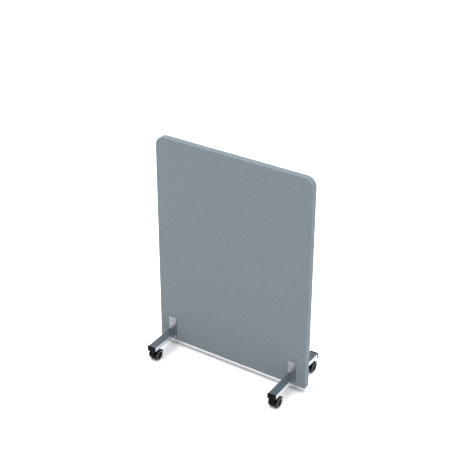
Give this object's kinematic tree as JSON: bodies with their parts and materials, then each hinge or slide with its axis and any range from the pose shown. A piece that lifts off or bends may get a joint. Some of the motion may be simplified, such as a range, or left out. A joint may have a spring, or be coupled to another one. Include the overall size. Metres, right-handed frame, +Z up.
{
  "type": "mobile partition wall",
  "caption": "Free-standing upholstered screen with rounded top corners, clamped between tube feet that roll on hooded swivel castors.",
  "frame": {"origin": "on the floor, under the centre of the panel, where the bounding box's bottom face has its centre", "axes": "+X along the panel to the right seen from the front, +Y from the front face to the rear face, +Z up"},
  "size_m": [1, 0.487, 1.365],
  "materials": {
    "cover_fabric": "matte",
    "frame_wood": "satin",
    "core_felt": "matte",
    "satin_tube": "satin",
    "satin_plate": "satin",
    "zinc_steel": "satin",
    "black_plastic": "satin",
    "hub_plastic": "satin",
    "black_rubber": "matte"
  },
  "bodies": {
    "root": {"front_cover": "cover_fabric", "rear_cover": "cover_fabric", "top_rail": "frame_wood", "bottom_rail": "frame_wood", "left_stile": "frame_wood", "right_stile": "frame_wood", "acoustic_core": "core_felt", "left_lower_screw": "zinc_steel", "left_lower_sleeve_nut": "zinc_steel", "left_upper_screw": "zinc_steel", "left_upper_sleeve_nut": "zinc_steel", "right_lower_screw": "zinc_steel", "right_lower_sleeve_nut": "zinc_steel", "right_upper_screw": "zinc_steel", "right_upper_sleeve_nut": "zinc_steel", "front_left_plate": "satin_plate", "front_left_tube": "satin_tube", "front_left_end_cap": "black_plastic", "front_left_castor_nut": "zinc_steel", "front_left_castor_stem": "zinc_steel", "front_right_plate": "satin_plate", "front_right_tube": "satin_tube", "front_right_end_cap": "black_plastic", "front_right_castor_nut": "zinc_steel", "front_right_castor_stem": "zinc_steel", "rear_left_plate": "satin_plate", "rear_left_tube": "satin_tube", "rear_left_end_cap": "black_plastic", "rear_left_castor_nut": "zinc_steel", "rear_left_castor_stem": "zinc_steel", "rear_right_plate": "satin_plate", "rear_right_tube": "satin_tube", "rear_right_end_cap": "black_plastic", "rear_right_castor_nut": "zinc_steel", "rear_right_castor_stem": "zinc_steel"},
    "front_left_castor": {"front_left_hood": "black_plastic", "front_left_axle": "zinc_steel"},
    "front_left_outer_wheel": {"front_left_outer_hub": "hub_plastic", "front_left_outer_tyre": "black_rubber"},
    "front_left_inner_wheel": {"front_left_inner_hub": "hub_plastic", "front_left_inner_tyre": "black_rubber"},
    "front_right_castor": {"front_right_hood": "black_plastic", "front_right_axle": "zinc_steel"},
    "front_right_outer_wheel": {"front_right_outer_hub": "hub_plastic", "front_right_outer_tyre": "black_rubber"},
    "front_right_inner_wheel": {"front_right_inner_hub": "hub_plastic", "front_right_inner_tyre": "black_rubber"},
    "rear_left_castor": {"rear_left_hood": "black_plastic", "rear_left_axle": "zinc_steel"},
    "rear_left_outer_wheel": {"rear_left_outer_hub": "hub_plastic", "rear_left_outer_tyre": "black_rubber"},
    "rear_left_inner_wheel": {"rear_left_inner_hub": "hub_plastic", "rear_left_inner_tyre": "black_rubber"},
    "rear_right_castor": {"rear_right_hood": "black_plastic", "rear_right_axle": "zinc_steel"},
    "rear_right_outer_wheel": {"rear_right_outer_hub": "hub_plastic", "rear_right_outer_tyre": "black_rubber"},
    "rear_right_inner_wheel": {"rear_right_inner_hub": "hub_plastic", "rear_right_inner_tyre": "black_rubber"}
  },
  "joints": [
    {"name": "front_left_swivel", "type": "hinge", "parent": "root", "child": "front_left_castor", "pos_m": [-0.4125, -0.222, 0.055], "axis": [0, 0, 1], "continuous": true},
    {"name": "front_left_outer_roll", "type": "hinge", "parent": "front_left_castor", "child": "front_left_outer_wheel", "pos_m": [-0.4125, -0.198, 0.03], "axis": [1, 0, 0], "continuous": true},
    {"name": "front_left_inner_roll", "type": "hinge", "parent": "front_left_castor", "child": "front_left_inner_wheel", "pos_m": [-0.4125, -0.198, 0.03], "axis": [1, 0, 0], "continuous": true},
    {"name": "front_right_swivel", "type": "hinge", "parent": "root", "child": "front_right_castor", "pos_m": [0.4125, -0.222, 0.055], "axis": [0, 0, 1], "continuous": true},
    {"name": "front_right_outer_roll", "type": "hinge", "parent": "front_right_castor", "child": "front_right_outer_wheel", "pos_m": [0.4125, -0.198, 0.03], "axis": [1, 0, 0], "continuous": true},
    {"name": "front_right_inner_roll", "type": "hinge", "parent": "front_right_castor", "child": "front_right_inner_wheel", "pos_m": [0.4125, -0.198, 0.03], "axis": [1, 0, 0], "continuous": true},
    {"name": "rear_left_swivel", "type": "hinge", "parent": "root", "child": "rear_left_castor", "pos_m": [-0.4125, 0.222, 0.055], "axis": [0, 0, 1], "continuous": true},
    {"name": "rear_left_outer_roll", "type": "hinge", "parent": "rear_left_castor", "child": "rear_left_outer_wheel", "pos_m": [-0.4125, 0.198, 0.03], "axis": [1, 0, 0], "continuous": true},
    {"name": "rear_left_inner_roll", "type": "hinge", "parent": "rear_left_castor", "child": "rear_left_inner_wheel", "pos_m": [-0.4125, 0.198, 0.03], "axis": [1, 0, 0], "continuous": true},
    {"name": "rear_right_swivel", "type": "hinge", "parent": "root", "child": "rear_right_castor", "pos_m": [0.4125, 0.222, 0.055], "axis": [0, 0, 1], "continuous": true},
    {"name": "rear_right_outer_roll", "type": "hinge", "parent": "rear_right_castor", "child": "rear_right_outer_wheel", "pos_m": [0.4125, 0.198, 0.03], "axis": [1, 0, 0], "continuous": true},
    {"name": "rear_right_inner_roll", "type": "hinge", "parent": "rear_right_castor", "child": "rear_right_inner_wheel", "pos_m": [0.4125, 0.198, 0.03], "axis": [1, 0, 0], "continuous": true}
  ]
}
